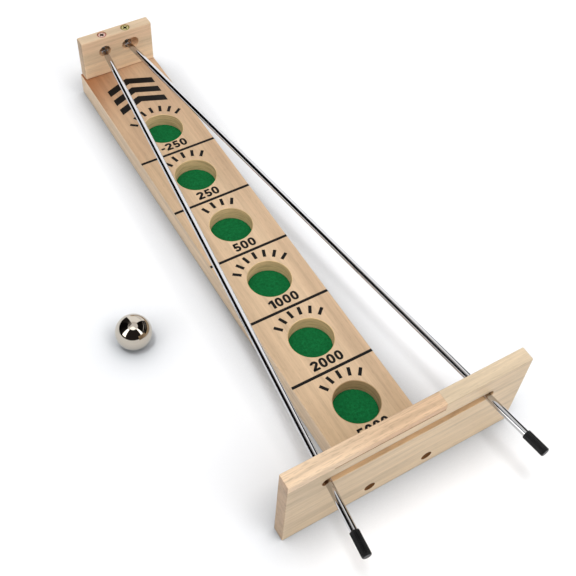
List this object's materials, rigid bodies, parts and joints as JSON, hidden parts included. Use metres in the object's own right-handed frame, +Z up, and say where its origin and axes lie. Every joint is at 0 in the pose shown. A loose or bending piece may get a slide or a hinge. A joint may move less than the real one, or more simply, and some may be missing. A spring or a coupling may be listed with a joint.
{
  "type": "rolling ball game",
  "caption": "Tabletop rolling ball game: a steel ball rides two hinged spreading rods over a wooden board and drops into felt-lined scoring pockets.",
  "frame": {"origin": "centre of the board's underside, on the table", "axes": "+X to the player's right, +Y away from the player towards the back block, +Z up"},
  "size_m": [0.2032, 0.4756, 0.075],
  "materials": {
    "board_wood": "sanded, thin clear varnish",
    "plate_wood": "sanded, thin clear varnish",
    "stave_wood": "sanded, open grain",
    "block_wood": "sanded, thin clear varnish",
    "green_felt": "felt",
    "screw_plating": "yellow zinc plating, satin",
    "rod_chrome": "polished",
    "grip_rubber": "moulded, satin",
    "ball_steel": "polished"
  },
  "bodies": {
    "game_board": {"board": "board_wood", "front_plate": "plate_wood", "plate_top_stave": "stave_wood", "back_block": "block_wood", "felt_disc_1": "green_felt", "felt_disc_2": "green_felt", "felt_disc_3": "green_felt", "felt_disc_4": "green_felt", "felt_disc_5": "green_felt", "felt_disc_6": "green_felt", "plate_screws": "screw_plating", "block_screws": "screw_plating", "left_pivot_screw": "screw_plating", "right_pivot_screw": "screw_plating"},
    "left_arm": {"left_rod": "rod_chrome", "left_grip": "grip_rubber"},
    "right_arm": {"right_rod": "rod_chrome", "right_grip": "grip_rubber"},
    "ball": {"steel_ball": "ball_steel"}
  },
  "joints": [
    {"name": "left_rod_swing", "type": "hinge", "parent": "game_board", "child": "left_arm", "pos_m": [-0.0106, 0.2033, 0.0408], "axis": [0, 0, 1], "range_deg": [0, 7.1]},
    {"name": "right_rod_swing", "type": "hinge", "parent": "game_board", "child": "right_arm", "pos_m": [0.0099, 0.2033, 0.0408], "axis": [0, 0, -1], "range_deg": [0, 7.5]},
    {"name": "ball_roll", "type": "slide", "parent": "game_board", "child": "ball", "axis": [0, 1, 0], "range_m": [-0.15, 0.25]}
  ]
}
